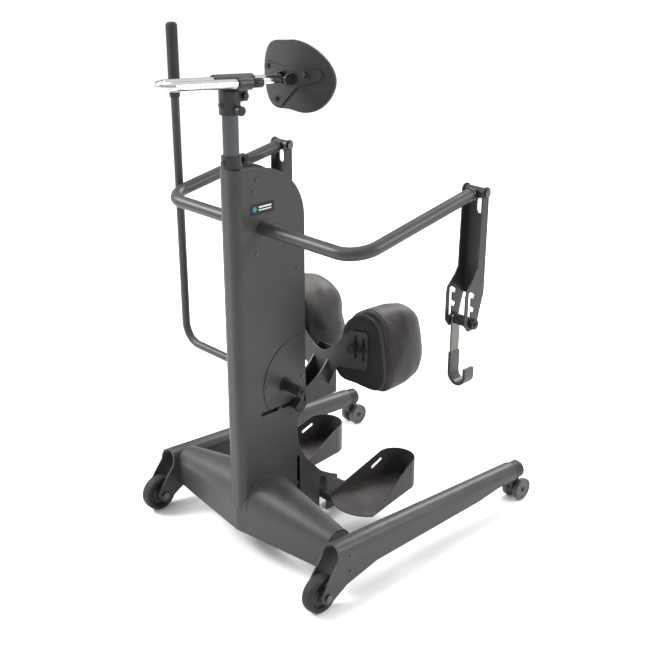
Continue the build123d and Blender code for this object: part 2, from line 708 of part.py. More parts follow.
def make_knee_back():
    """The board behind a cushion, with its two studs, a nut and a clamping knob."""
    board = extrude(Plane.XZ.offset(-KNEE_PAD_Y) * knee_outline(0.9),
        amount=KNEE_PAD_Y - KNEE_PLATE_Y - 2.5)
    for x in KNEE_STUDS:
        board += rod((x, KNEE_PLATE_Y + 5, KNEE_STUD_Z), (x, KNEE_PLATE_Y - 20, KNEE_STUD_Z), 4)
        board += rod((x, KNEE_PLATE_Y - 2.4, KNEE_STUD_Z), (x, KNEE_PLATE_Y - 6, KNEE_STUD_Z), 9)
    x = KNEE_STUDS[0]
    board += rod((x, KNEE_PLATE_Y - 8, KNEE_STUD_Z), (x, KNEE_PLATE_Y - 24, KNEE_STUD_Z), 13)
    return single(board)


# ---- foot support -------------------------------------------------------------------------------
def make_foot_carriage():
    """The slider behind the upright slot, the cross tube and the two plates under the trays."""
    y, z = FOOT_TUBE
    web = polygon((188, 118), (188, 176), (214, 176), (y + 4, z + 10), (y + 4, z - 10),
        (y - 8, z - 10), (226, 108))
    carriage = side_plate(web, -20, 20) + cross_rod(FOOT_TUBE, -150, 150, 11)
    for side in (1, -1):
        low, high = sorted((side * 92, side * 150))
        carriage += block((low, high), (y - 12, y + 120), (TRAY_FLOOR - 6, TRAY_FLOOR))
    carriage -= cross_rod((FOOT_SLOT_Y, 150), -60, 60, 5.06)
    return single(carriage)


def make_foot_knob():
    """The knob on the left that clamps the foot slider."""
    stud = cross_rod((FOOT_SLOT_Y, 150), -50, 31, 5)
    star = Circle(14)
    for turn in range(0, 360, 72):
        star += Rot(Z=turn) * Pos(12, 0) * Circle(6)
    knob = extrude(Plane(origin=(-58, FOOT_SLOT_Y, 150), z_dir=(1, 0, 0)) * star, amount=18)
    washer = cross_rod((FOOT_SLOT_Y, 150), -41, -34.4, 12)
    return single(stud + knob + washer)


def tray_plan(inset):
    """Plan of a foot tray: a bowed toe edge, tapering sides and a round heel."""
    toe, heel = 76 - inset, 54 - inset
    centre = TRAY_LENGTH - 54
    sides = Line((toe, inset), (heel, centre)) + ThreePointArc((heel, centre), (0, centre + heel),
        (-heel, centre))
    bow = ThreePointArc((-toe, inset), (0, inset - TRAY_TOE_BOW), (toe, inset))
    return make_face(sides + Line((-heel, centre), (-toe, inset)) + bow)


def make_tray(side):
    """A shoe-shaped tray for the right (1) or left (-1) foot, open at the toe, with one strap slot."""
    floor, above = 3.0, TRAY_HEIGHT + 40
    tray = extrude(tray_plan(0), amount=TRAY_HEIGHT) - Pos(0, 0,
        floor) * extrude(tray_plan(TRAY_WALL), amount=above)
    tray -= block((-90, 90), (-60, 0), (floor, above))
    high_side = polygon((-1, 12), (178, TRAY_HEIGHT + 0.1), (178, above), (-1, above))
    low_side = polygon((-1, floor), (16, floor), (138, 62), (186, TRAY_HEIGHT + 0.1),
        (186, above), (-1, above))
    tray -= side_plate(high_side, -90, 0) + side_plate(low_side, 0, 90)
    slot = Plane.YZ.offset(-90) * Pos(160, 48) * Rot(Z=26) * SlotOverall(42, 9)
    tray -= extrude(slot, amount=60)
    return single(Pos(side * TRAY_X, TRAY_TOE_Y, TRAY_FLOOR) * Rot(Z=side * TRAY_TOE_OUT) * tray)


# ---- wheels -------------------------------------------------------------------------------------
def make_rear_wheel():
    """A solid tyre on a spoked core with a bearing hub."""
    yz = (0, AXLE_Z)
    half = WHEEL_W / 2
    wheel = cross_rod(yz, LEG_X - half, LEG_X + half, WHEEL_R)
    wheel = fillet(wheel.edges().filter_by(GeomType.CIRCLE), 7)
    for x0, x1 in ((-half - 1, -7), (7, half + 1)):
        wheel -= cross_rod(yz, LEG_X + x0, LEG_X + x1, 34, 14)
    hub = cross_rod(yz, LEG_X - half - 5, LEG_X + half + 5, 13)
    return single(wheel + hub - cross_rod(yz, LEG_X - 60, LEG_X + 60, 6.05))


def make_rear_axles():
    """The two axle bolts."""
    bolts = []
    for side in (1, -1):
        bolt = cross_rod((0, AXLE_Z), side * (LEG_X - 34), side * (LEG_X + 34), 6)
        for x0, x1 in ((-35, -29), (29, 35)):
            bolt += cross_rod((0, AXLE_Z), side * (LEG_X + x0), side * (LEG_X + x1), 10)
        bolts.append(single(bolt))
    return bolts


def make_insert():
    """The end piece in a leg's front, with the boss that holds the caster stem."""
    start = (LEG_X, LEG_FRONT_Y - 60, leg_axis(LEG_FRONT_Y - 60))
    end = (LEG_X, INSERT_END_Y, leg_axis(INSERT_END_Y))
    piece = rod(start, end, LEG_R - LEG_WALL)
    return single(piece - upright(LEG_X, SWIVEL_Y, 40, 108, 6.06))


def make_caster_fork():
    """The stem and the body between the two wheels of a caster, with their axle."""
    axle = (SWIVEL_Y + CASTER_TRAIL, CASTER_R)
    stem = upright(LEG_X, SWIVEL_Y, 50, 104, 6)
    body = side_plate(
        polygon((SWIVEL_Y - 12, 66), (SWIVEL_Y + 12, 66), (axle[0] + 10, axle[1]),
        (axle[0] - 6, axle[1] - 10),
                (SWIVEL_Y - 8, 44)) + Pos(*axle) * Circle(10),
        LEG_X - 9, LEG_X + 9,
    )
    pin = cross_rod(axle, LEG_X - 27, LEG_X + 27, 4)
    return single(stem + body + pin)


def make_caster_wheels():
    """The two wheels of a caster."""
    axle = (SWIVEL_Y + CASTER_TRAIL, CASTER_R)
    wheels = []
    for side in (-1, 1):
        x0, x1 = sorted((side * CASTER_GAP, side * (CASTER_GAP + CASTER_W)))
        wheel = cross_rod(axle, LEG_X + x0, LEG_X + x1, CASTER_R)
        wheel = fillet(wheel.edges().filter_by(GeomType.CIRCLE), 4)
        wheels.append(single(wheel - cross_rod(axle, LEG_X - 40, LEG_X + 40, 4.05)))
    return wheels


# ---- small fixed pieces -------------------------------------------------------------------------
def make_screws():
    """Screws in the mast's sides, in the pump cover and in the outer walls of the legs."""
    screws = []
    for y, z in ((81, 1005), (71, 978), (78, 825), (208, 761)):
        for side in (1, -1):
            screws.append(screw_head(side * MAST_X, y, z, side))
    for y, z in ((212, 567), (100, 466), (219, 463), (209, 412)):
        screws.append(screw_head(MAST_X + 2, y, z, 1.0, 4.5))
    for y, z in ((77, 134), (77, 90)):
        for side in (1, -1):
            screws.append(screw_head(side * (LEG_X + LEG_R), y, z, side))
    return [single(screw) for screw in screws]


def make_label():
    """A small plain plate on the right side of the mast."""
    plate = Pos(97, 936) * RectangleRounded(74, 26, 2)
    return side_plate(plate, MAST_X, MAST_X + 0.8)


# ---- all nodes ----------------------------------------------------------------------------------
def build():
    """Make and save every piece."""
    save("mast_shell", make_mast_shell())
    save("mast_front_cover", make_front_cover())
    save_pair("crossbeam", [make_crossbeam()])
    save_pair("leg", [make_leg()])
    save_pair("leg_insert", [make_insert()])
    save("rear_axles", *make_rear_axles())
    save("frame_screws", *make_screws())
    save("label_plate", make_label())
    save("post_collar", *make_collar())
    save("pump_cover", make_pump_cover())
    save("pump_bush", cross_rod(PUMP_SHAFT, MAST_X + 2, MAST_X + 7, 19, PUMP_R + 0.06))
    save("lift_cylinder", make_barrel())
    save("pump_block", make_pump_block())
    save_pair("rear_wheel", [make_rear_wheel()])
    save_pair("caster_fork", [make_caster_fork()])
    save_pair("caster_wheels", make_caster_wheels())
    save("collar_lever", make_collar_lever())
    save_pair("arm", [make_arm()])
    save("arm_shaft", cross_rod(ARM_PIVOT, -72, 72, ARM_R - 3))
    save("arm_crank", *make_arm_crank())
    save_pair("arm_fork", [make_arm_fork()])
    save("arm_bolts", *make_arm_bolts())
    save("ram_rod", make_ram_rod())
    save_pair("hanger", [make_hanger()])
    save_pair("strap_bar", [single(make_strap_bar())])
    save_pair("strap_hook", make_strap_hook())
    save("pump_handle", make_pump_handle())
    save("pump_grip", *make_pump_grip())
    save("pump_crank", *make_pump_crank())
    save("pump_piston", make_piston())
    save("post", upright(0, POST_Y, 790, CLAMP[1] - 4, POST_R, POST_R - 3))
    save("head_clamp", *make_head_clamp())
    save("head_tee", make_head_tee())
    save("head_knob", make_head_knob())
    save("chest_bar", *make_chest_bar())
    save("chest_bracket", *make_chest_bracket())
    save("chest_shell", pad_layer(PAD_CURVE, PAD_CURVE - PAD_SHELL, 0))
    save("chest_cushion", pad_layer(PAD_CURVE - PAD_SHELL - 0.2,
        PAD_CURVE - PAD_SHELL - PAD_CUSHION, PAD_SETBACK))
    save("knee_carriage", make_knee_carriage())
    save("knee_knob", make_knee_knob())
    save("knee_saddle", make_knee_saddle())
    save_pair("knee_pad", [make_knee_pad()])
    save_pair("knee_back", [make_knee_back()])
    save("foot_carriage", make_foot_carriage())
    save("foot_knob", make_foot_knob())
    save("foot_tray_right", make_tray(1))
    save("foot_tray_left", make_tray(-1))


build()
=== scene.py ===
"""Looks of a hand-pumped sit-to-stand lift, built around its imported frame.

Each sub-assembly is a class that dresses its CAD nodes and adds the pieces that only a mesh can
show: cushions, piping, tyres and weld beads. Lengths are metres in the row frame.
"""

import logging
import math
from dataclasses import dataclass, field
from enum import Enum
from typing import Iterable, Optional, Sequence, Union

import bmesh
import bpy
from mathutils import Matrix, Vector, noise


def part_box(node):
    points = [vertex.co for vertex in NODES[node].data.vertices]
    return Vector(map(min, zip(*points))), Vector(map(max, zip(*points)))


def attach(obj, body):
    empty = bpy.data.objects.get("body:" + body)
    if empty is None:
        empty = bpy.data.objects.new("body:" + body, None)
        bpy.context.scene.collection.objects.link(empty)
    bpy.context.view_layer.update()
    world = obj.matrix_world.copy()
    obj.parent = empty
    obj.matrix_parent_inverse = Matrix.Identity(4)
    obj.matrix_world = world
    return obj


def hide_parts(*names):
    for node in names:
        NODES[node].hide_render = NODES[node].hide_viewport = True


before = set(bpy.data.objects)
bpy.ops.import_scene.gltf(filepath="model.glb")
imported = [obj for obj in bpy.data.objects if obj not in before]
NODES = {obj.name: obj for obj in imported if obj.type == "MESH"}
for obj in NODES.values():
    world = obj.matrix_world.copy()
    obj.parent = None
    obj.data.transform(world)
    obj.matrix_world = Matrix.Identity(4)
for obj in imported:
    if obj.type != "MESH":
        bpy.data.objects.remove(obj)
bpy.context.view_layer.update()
LOG = logging.getLogger("lift")

Colour = tuple[float, float, float]
Number = Union[float, "Value"]
Outline = Sequence[tuple[float, float]]
Piece = bpy.types.Object

SIDES = ("left", "right")
WAYS = {"left": -1, "right": 1}
ACROSS = Vector((1, 0, 0))
BEAD_SIDES = 12
PALE_DUST: Colour = (0.20, 0.19, 0.18)
GREY_DUST: Colour = (0.12, 0.115, 0.11)
FLOOR_DUST: Colour = (0.10, 0.092, 0.085)


# ---- shader maths -------------------------------------------------------------------------------
class Value:
    """A shader socket that takes part in Python arithmetic."""

    def __init__(self, graph: "Graph", socket: bpy.types.NodeSocket) -> None:
        """Wrap one output socket of a graph."""
        self.graph = graph
        self.socket = socket

    def math(
        self, operation: str, *others: Number, clamp: bool = False, first: Optional[Number] = None
    ) -> "Value":
        """Add a Math node.

        Args:
            operation: the node's operation.
            others: the values after this one.
            clamp: limit the result to 0 and 1.
            first: a value that goes before this one.

        Returns:
            The node's result.
        """
        values = ([first] if first is not None else []) + [self, *others]
        settings = {"operation": operation, "use_clamp": clamp}
        return self.graph.node("ShaderNodeMath", settings, dict(enumerate(values)))

    def __add__(self, other: Number) -> "Value":
        """Sum."""
        return self.math("ADD", other)

    def __radd__(self, other: Number) -> "Value":
        """Sum with a number on the left."""
        return self.math("ADD", other)

    def __sub__(self, other: Number) -> "Value":
        """Difference."""
        return self.math("SUBTRACT", other)

    def __rsub__(self, other: Number) -> "Value":
        """A number less this value."""
        return self.math("SUBTRACT", first=other)

    def __mul__(self, other: Number) -> "Value":
        """Product."""
        return self.math("MULTIPLY", other)

    def __rmul__(self, other: Number) -> "Value":
        """Product with a number on the left."""
        return self.math("MULTIPLY", other)

    def __truediv__(self, other: Number) -> "Value":
        """Quotient."""
        return self.math("DIVIDE", other)

    def clamped(self) -> "Value":
        """The value limited to 0 and 1."""
        return self.math("ADD", 0.0, clamp=True)

    def ramp(self, low: float, high: float) -> "Value":
        """0 below low, 1 above high, and a straight line between."""
        return ((self - low) / (high - low)).clamped()

    def band(self, low: float, high: float, soft: float) -> "Value":
        """1 between low and high, with soft edges."""
        return self.ramp(low - soft, low + soft) * (1.0 - self.ramp(high - soft, high + soft))


class Graph:
    """The node tree of one material."""

    def __init__(self, name: str) -> None:
        """Start an empty material with a Principled shader."""
        self.material = bpy.data.materials.new(name)
        self.material.use_nodes = True
        self.tree = self.material.node_tree
        self.tree.nodes.clear()
        self.shader = self.tree.nodes.new("ShaderNodeBsdfPrincipled")
        output = self.tree.nodes.new("ShaderNodeOutputMaterial")
        self.tree.links.new(self.shader.outputs[0], output.inputs["Surface"])
        self._place: Optional[Value] = None

    def node(self, kind: str, settings: dict, inputs: dict, output: Union[int, str] = 0) -> Value:
        """Add any node.

        Args:
            kind: the node's type.
            settings: attributes that are set first; "stops" sets a colour ramp's stops.
            inputs: values or links by socket name or number.
            output: the socket that is returned.

        Returns:
            The chosen output.
        """
        made = self.tree.nodes.new(kind)
        for key, value in settings.items():
            if key == "stops":
                ramp = made.color_ramp
                while len(ramp.elements) < len(value):
                    ramp.elements.new(0.5)
                for element, (place, colour) in zip(ramp.elements, value):
                    element.position = place
                    element.color = (*colour, 1.0)
            else:
                setattr(made, key, value)
        for key, value in inputs.items():
            if isinstance(value, Value):
                self.tree.links.new(value.socket, made.inputs[key])
            else:
                made.inputs[key].default_value = value
        return Value(self, made.outputs[output])

    def place(self) -> Value:
        """The point in the piece's own coordinates, in metres."""
        if self._place is None:
            self._place = self.node("ShaderNodeTexCoord", {}, {}, "Object")
        return self._place

    def axis(self, name: str) -> Value:
        """One coordinate of the point."""
        return self.node("ShaderNodeSeparateXYZ", {}, {0: self.place()}, name)

    def noise(
        self, scale: float, detail: float = 3.0, roughness: float = 0.55, vector: Optional[Value] = None
    ) -> Value:
        """Fractal noise between 0 and 1.

        Args:
            scale: waves to the metre.
            detail: number of finer layers.
            roughness: weight of the finer layers.
            vector: the point that is looked up; by default the piece's own.

        Returns:
            The noise's value.
        """
        inputs = {"Vector": vector or self.place(), "Scale": scale, "Detail": detail}
        return self.node("ShaderNodeTexNoise", {}, {**inputs, "Roughness": roughness}, 0)

    def stretched(self, x: float, y: float, z: float) -> Value:
        """The point with each coordinate multiplied."""
        inputs = {0: self.place(), 1: (x, y, z)}
        return self.node("ShaderNodeVectorMath", {"operation": "MULTIPLY"}, inputs)

    def cells(self, scale: float, feature: str = "F1") -> Value:
        """Distance to the points or edges of a cell pattern."""
        inputs = {"Vector": self.place(), "Scale": scale}
        return self.node("ShaderNodeTexVoronoi", {"feature": feature}, inputs, "Distance")

    def mix(self, mask: Value, low: Union[Colour, Value], high: Union[Colour, Value]) -> Value:
        """Blend two colours.

        Args:
            mask: 0 gives the first colour and 1 the second.
            low: the first colour.
            high: the second colour.

        Returns:
            The blended colour.
        """
        settings = {"data_type": "RGBA", "clamp_factor": True}
        inputs = {0: mask}
        for socket, colour in ((6, low), (7, high)):
            inputs[socket] = colour if isinstance(colour, Value) else (*colour, 1.0)
        return self.node("ShaderNodeMix", settings, inputs, 2)

    def upward(self) -> Value:
        """1 on faces that look up, 0 on the others."""
        normal = self.node("ShaderNodeNewGeometry", {}, {}, "Normal")
        return self.node("ShaderNodeSeparateXYZ", {}, {0: normal}, "Z").clamped()

    def edges(self, radius: float) -> Value:
        """Find sharp edges.

        Args:
            radius: how far from an edge the mask reaches, in metres.

        Returns:
            1 near sharp edges, 0 on flat stretches.
        """
        soft = self.node("ShaderNodeBevel", {"samples": 4}, {"Radius": radius})
        hard = self.node("ShaderNodeNewGeometry", {}, {}, "Normal")
        settings = {"operation": "DOT_PRODUCT"}
        same = self.node("ShaderNodeVectorMath", settings, {0: soft, 1: hard}, "Value")
        return ((1.0 - same) * 6.0).clamped()

    def bump(self, height: Value, distance: float, strength: float = 1.0, soften: float = 0.0) -> None:
        """Raise the surface by a height map.

        Args:
            height: the height map.
            distance: height of its full range, in metres.
            strength: share of the effect.
            soften: radius to which sharp edges are shaded round.
        """
        inputs = {"Height": height, "Distance": distance, "Strength": strength}
        if soften:
            inputs["Normal"] = self.node("ShaderNodeBevel", {"samples": 4}, {"Radius": soften})
        self.feed(Normal=self.node("ShaderNodeBump", {}, inputs))

    def feed(self, **sockets: Value) -> None:
        """Link values to the shader; an underscore in a name stands for a space."""
        for name, value in sockets.items():
            self.tree.links.new(value.socket, self.shader.inputs[name.replace("_", " ")])

    def set(self, **sockets: float) -> None:
        """Set plain numbers on the shader; an underscore in a name stands for a space."""
        for name, value in sockets.items():
            self.shader.inputs[name.replace("_", " ")].default_value = value


class Sky(Graph):
    """The node tree of the studio's surroundings."""

    def __init__(self, name: str) -> None:
        """Start a world with one Background shader."""
        self.world = bpy.data.worlds.new(name)
        self.world.use_nodes = True
        self.tree = self.world.node_tree
        self.shader = self.tree.nodes["Background"]
        self._place = self.node("ShaderNodeTexCoord", {}, {}, "Generated")

    def shade(self, low: float, high: float) -> None:
        """A bright ceiling and a pale strip at the horizon, with a darker wall between them.

        Args:
            low: brightness of the wall.
            high: brightness overhead and at the horizon.
        """
        height = self.axis("Z")
        bright = (height.ramp(0.32, 0.62) + 1.0 - height.ramp(0.20, 0.27)).clamped()
        self.feed(Color=self.mix(bright, (low,) * 3, (high,) * 3))


def tint(colour: Colour, factor: float) -> Colour:
    """A colour made lighter or darker."""
    return tuple(min(1.0, c * factor) for c in colour)


# ---- finishes -----------------------------------------------------------------------------------
@dataclass(frozen=True)
class PowderCoat:
    """Stoved powder paint: mottled, with orange peel, rubbed edges and dust on top."""

    name: str
    colour: Colour
    sheen: float = 0.36
    rub: float = 0.25
    peel: float = 0.00006
    dust: float = 0.10

    def make(self) -> bpy.types.Material:
        """Build the material.

        Returns:
            The finished material.
        """
        g = Graph(self.name)
        cloud = g.noise(5.0, 4.0)
        grain = g.noise(700.0, 2.0)
        scuff = g.noise(38.0, 6.0, 0.7).ramp(0.60, 0.74)
        base = g.mix(cloud.ramp(0.3, 0.7), tint(self.colour, 0.9), tint(self.colour, 1.12))
        base = g.mix(grain.ramp(0.35, 0.7) * 0.22, base, tint(self.colour, 1.6))
        settled = g.upward() * g.noise(14.0, 5.0).ramp(0.35, 0.75) * self.dust
        base = g.mix(settled, base, PALE_DUST)
        edge = g.edges(0.0016) * g.noise(60.0, 4.0).ramp(0.38, 0.6) * self.rub
        base = g.mix(edge, base, tint(self.colour, 2.6))
        rough = cloud * 0.08 + grain * 0.08 + scuff * 0.10 - edge * 0.1 + self.sheen
        g.feed(Base_Color=base, Roughness=rough.clamped())
        g.set(Metallic=0.0, Specular_IOR_Level=0.34, Coat_Weight=0.05, Coat_Roughness=0.25)
        g.bump(grain * 0.7 + g.noise(240.0, 2.0) * 0.9, self.peel, 1.0, 0.0009)
        return g.material


@dataclass(frozen=True)
class MouldedPlastic:
    """Injection-moulded plastic with a spark-eroded grain."""

    name: str
    colour: Colour
    roughness: float = 0.42
    grain: float = 900.0
    depth: float = 0.00005

    def make(self) -> bpy.types.Material:
        """Build the material.

        Returns:
            The finished material.
        """
        g = Graph(self.name)
        pits = g.cells(self.grain)
        cloud = g.noise(9.0, 4.0)
        base = g.mix(cloud.ramp(0.3, 0.7), tint(self.colour, 0.85), tint(self.colour, 1.2))
        edge = g.edges(0.0012) * g.noise(90.0, 3.0).ramp(0.4, 0.62) * 0.35
        base = g.mix(edge, base, tint(self.colour, 2.4))
        base = g.mix(g.upward() * cloud.ramp(0.4, 0.8) * 0.06, base, GREY_DUST)
        rough = cloud * 0.12 + pits * 0.06 - edge * 0.1 + self.roughness
        g.feed(Base_Color=base, Roughness=rough.clamped())
        g.set(Metallic=0.0, Specular_IOR_Level=0.36)
        g.bump(pits + g.noise(180.0, 3.0) * 0.5, self.depth, 1.0, 0.0006)
        return g.material


@dataclass(frozen=True)
class MetalFinish:
    """Bare or plated metal, with draw lines along one axis."""

    name: str
    colour: Colour
    roughness: float
    lines: tuple[float, float, float] = (400.0, 400.0, 12.0)
    line_depth: float = 0.00002
    smudge: float = 0.12

    def make(self) -> bpy.types.Material:
        """Build the material.

        Returns:
            The finished material.
        """
        g = Graph(self.name)
        lines = g.noise(1.0, 3.0, 0.6, g.stretched(*self.lines))
        smudges = g.noise(22.0, 5.0, 0.6)
        base = g.mix(lines.ramp(0.3, 0.7) * 0.7, tint(self.colour, 0.86), tint(self.colour, 1.1))
        base = g.mix(smudges.ramp(0.55, 0.8) * self.smudge, base, tint(self.colour, 0.6))
        greasy = smudges.ramp(0.5, 0.8) * self.smudge * 0.6
        rough = lines * self.roughness * 0.4 + greasy + self.roughness
        g.feed(Base_Color=base, Roughness=rough.clamped())
        g.set(Metallic=1.0)
        g.bump(lines, self.line_depth, 1.0, 0.0006)
        return g.material


@dataclass(frozen=True)
class HookFinish:
    """Gunmetal above and a satin black cover below one height."""

    name: str
    steel: Colour
    cover: Colour
    height: float

    def make(self) -> bpy.types.Material:
        """Build the material.

        Returns:
            The finished material.
        """
        g = Graph(self.name)
        above = g.axis("Z").ramp(self.height - 0.0004, self.height + 0.0004)
        lines = g.noise(1.0, 3.0, 0.6, g.stretched(500.0, 500.0, 14.0))
        grain = g.noise(800.0, 2.0)
        steel = g.mix(lines.ramp(0.3, 0.7), tint(self.steel, 0.85), tint(self.steel, 1.15))
        cover = g.mix(g.noise(30.0, 4.0).ramp(0.3, 0.7), tint(self.cover, 0.8), tint(self.cover, 1.3))
        edge = g.edges(0.0012) * g.noise(70.0, 4.0).ramp(0.35, 0.6) * 0.5
        g.feed(
            Base_Color=g.mix(edge, g.mix(above, cover, steel), tint(self.steel, 2.2)),
            Metallic=above * 0.9,
            Roughness=(grain * 0.12 + lines * 0.08 - above * 0.06 + 0.32).clamped(),
        )
        g.bump(grain + lines, 0.00003, 1.0, 0.0007)
        return g.material


@dataclass(frozen=True)
class Vinyl:
    """Coated upholstery fabric: leather grain, small creases darkened with painted shade, a soft shine
    and a painted sheen on upward faces.
    """

    name: str
    colour: Colour
    # colour of the painted sheen laid on upward faces
    sheen_colour: Colour
    roughness: float = 0.44
    cell: float = 620.0

    def make(self) -> bpy.types.Material:
        """Build the material.

        Returns:
            The finished material.
        """
        g = Graph(self.name)
        pebbles = g.cells(self.cell, "SMOOTH_F1")
        creases = g.cells(self.cell * 0.42, "DISTANCE_TO_EDGE").ramp(0.0, 0.12)
        cloud = g.noise(11.0, 5.0)
        # mask of the painted sheen on upward faces; it also lowers the roughness there
        painted_top_sheen = g.upward().ramp(0.35, 0.95) * g.noise(24.0, 5.0).ramp(0.25, 0.7)
        base = g.mix(cloud.ramp(0.3, 0.7), tint(self.colour, 0.8), tint(self.colour, 1.25))
        # painted shade: the sunken crease lines are darkened towards half the colour
        base = g.mix((1.0 - creases) * 0.5, base, tint(self.colour, 0.5))
        # painted sheen: the upward faces are lightened towards sheen_colour
        base = g.mix(painted_top_sheen * 0.5, base, self.sheen_colour)
        rough = cloud * 0.12 - painted_top_sheen * 0.05 + pebbles * 0.10 + self.roughness
        g.feed(Base_Color=base, Roughness=rough.clamped())
        g.set(Specular_IOR_Level=0.32, Sheen_Weight=0.05, Sheen_Roughness=0.4)
        g.bump(creases * 0.8 + (1.0 - pebbles) * 0.5 + g.noise(60.0, 4.0) * 1.2, 0.00022)
        return g.material


@dataclass(frozen=True)
class Rubber:
    """Tyre rubber or foam: matt, fine-pored, dusty where it meets the floor."""

    name: str
    colour: Colour
    roughness: float = 0.62
    pore: float = 1400.0
    dust: float = 0.18

    def make(self) -> bpy.types.Material:
        """Build the material.

        Returns:
            The finished material.
        """
        g = Graph(self.name)
        pores = g.cells(self.pore)
        cloud = g.noise(16.0, 5.0)
        base = g.mix(cloud.ramp(0.3, 0.7), tint(self.colour, 0.8), tint(self.colour, 1.3))
        base = g.mix(g.noise(45.0, 6.0, 0.7).ramp(0.5, 0.75) * self.dust, base, FLOOR_DUST)
        rough = cloud * 0.15 - pores * 0.08 + self.roughness
        g.feed(Base_Color=base, Roughness=rough.clamped())
        g.set(Specular_IOR_Level=0.34)
        g.bump(pores + g.noise(300.0, 3.0) * 0.8, 0.00012, 1.0, 0.0008)
        return g.material


@dataclass(frozen=True)
class PrintedLabel:
    """A black plate printed with a plain disc and two bars."""

    name: str
    low: Vector
    high: Vector

    def make(self) -> bpy.types.Material:
        """Build the material.

        Returns:
            The finished material.
        """
        g = Graph(self.name)
        height = self.high.z - self.low.z
        y, z = g.axis("Y") - self.low.y, g.axis("Z") - self.low.z
        disc_y, disc_z = y - height * 0.52, z - height * 0.5
        disc = 1.0 - (disc_y * disc_y + disc_z * disc_z).math("SQRT").ramp(height * 0.22, height * 0.25)
        bars = z.band(height * 0.56, height * 0.72, 0.0003) + z.band(height * 0.3, height * 0.42, 0.0003)
        bars = bars.clamped() * y.band(height * 1.0, height * 2.5, 0.0003)
        black = g.mix(g.noise(80.0).ramp(0.3, 0.7), (0.003, 0.003, 0.0035), (0.006, 0.006, 0.007))
        ink = g.mix(disc, black, (0.01, 0.22, 0.26))
        ink = g.mix(bars * 0.9, ink, (0.62, 0.64, 0.64))
        g.feed(Base_Color=ink, Roughness=(g.noise(300.0) * 0.12 + 0.22).clamped())
        g.set(Specular_IOR_Level=0.3)
        g.bump(g.noise(500.0), 0.00001)
        return g.material


class Finish(Enum):
    """The lift's finishes."""

    GREY_COAT = PowderCoat("grey_powder_coat", (0.029, 0.028, 0.0265))
    COVER_COAT = PowderCoat("cover_powder_coat", (0.011, 0.0105, 0.010), 0.42)
    CHARCOAL_COAT = PowderCoat("charcoal_powder_coat", (0.019, 0.0187, 0.0183), 0.34, 0.35)
    TRAY_COAT = PowderCoat("tray_powder_coat", (0.030, 0.0265, 0.0245), 0.40, 0.3, 0.00008, 0.25)
    PLATE_COAT = PowderCoat("bracket_powder_coat", (0.014, 0.0137, 0.0134), 0.30)
    BLACK_PLASTIC = MouldedPlastic("black_moulded_plastic", (0.009, 0.009, 0.0095))
    CLAMP_PLASTIC = MouldedPlastic("clamp_plastic", (0.014, 0.0145, 0.0155), 0.30, 700.0)
    CASTER_PLASTIC = MouldedPlastic("caster_plastic", (0.060, 0.055, 0.052), 0.4)
    SHELL_PLASTIC = MouldedPlastic("shell_plastic", (0.013, 0.0125, 0.0125), 0.45, 520.0, 0.00012)
    BOARD_PLASTIC = MouldedPlastic("board_plastic", (0.007, 0.007, 0.007), 0.5)
    POST_STEEL = MetalFinish("post_gunmetal", (0.085, 0.092, 0.104), 0.30)
    HOOK_COAT = HookFinish("hook_gunmetal", (0.13, 0.122, 0.115), (0.022, 0.021, 0.020), 0.5502)
    CHROME = MetalFinish("chrome_plate", (0.66, 0.665, 0.67), 0.08, (60.0, 900.0, 60.0), 0.000004, 0.05)
    SCREW_STEEL = MetalFinish("blacked_steel", (0.12, 0.12, 0.12), 0.26)
    BARE_STEEL = MetalFinish("bright_steel", (0.55, 0.55, 0.56), 0.28)
    TYRE = Rubber("tyre_rubber", (0.012, 0.012, 0.0125))
    WHEEL_CORE = MouldedPlastic("wheel_core_plastic", (0.022, 0.021, 0.0205), 0.34)
    FOAM = Rubber("grip_foam", (0.022, 0.020, 0.020), 0.72, 900.0, 0.04)
    # the second colour of each vinyl is the colour of its painted sheen on upward faces
    PAD_VINYL = Vinyl("pad_vinyl", (0.017, 0.013, 0.012), (0.16, 0.145, 0.135))
    PIPING = Vinyl("piping_vinyl", (0.010, 0.0085, 0.008), (0.05, 0.045, 0.04), 0.4, 900.0)


class Paintbox:
    """Makes each finish once and puts it on pieces."""

    def __init__(self) -> None:
        """Start with no material made."""
        self.made: dict[str, bpy.types.Material] = {}

    def coat(self, piece: Piece, finish: Finish) -> Piece:
        """Give a piece one finish all over.

        Args:
            piece: the object to dress.
            finish: the finish it gets.

        Returns:
            The same object.
        """
        if finish.name not in self.made:
            self.made[finish.name] = finish.value.make()
        return self.dress(piece, self.made[finish.name])

    @staticmethod
    def dress(piece: Piece, material: bpy.types.Material) -> Piece:
        """Put one material in every slot of a piece.

        Args:
            piece: the object to dress.
            material: the material it gets.

        Returns:
            The same object.
        """
        if not piece.material_slots:
            piece.data.materials.append(material)
        for place in piece.material_slots:
            place.material = material
        return piece

    def coat_nodes(self, finish: Finish, names: Iterable[str]) -> None:
        """Give one finish to several CAD nodes."""
        for name in names:
            self.coat(NODES[name], finish)
            LOG.info("node %s: %s", name, finish.value.name)


PAINT = Paintbox()


# ---- mesh helpers -------------------------------------------------------------------------------
def new_piece(
    name: str, points: Sequence[Vector], faces: Sequence[Sequence[int]], smooth: bool = True
) -> Piece:
    """Make a mesh object in the row frame.

    Args:
        name: the piece's name.
        points: its vertices.
        faces: its faces, as vertex numbers.
        smooth: shade it smooth.

    Returns:
        The object, linked to the scene.
    """
    mesh = bpy.data.meshes.new(name)
    mesh.from_pydata([tuple(p) for p in points], [], [list(f) for f in faces])
    work = bmesh.new()
    work.from_mesh(mesh)
    bmesh.ops.recalc_face_normals(work, faces=work.faces)
    work.to_mesh(mesh)
    work.free()
    for face in mesh.polygons:
        face.use_smooth = smooth
    piece = bpy.data.objects.new(name, mesh)
    bpy.context.scene.collection.objects.link(piece)
    return piece


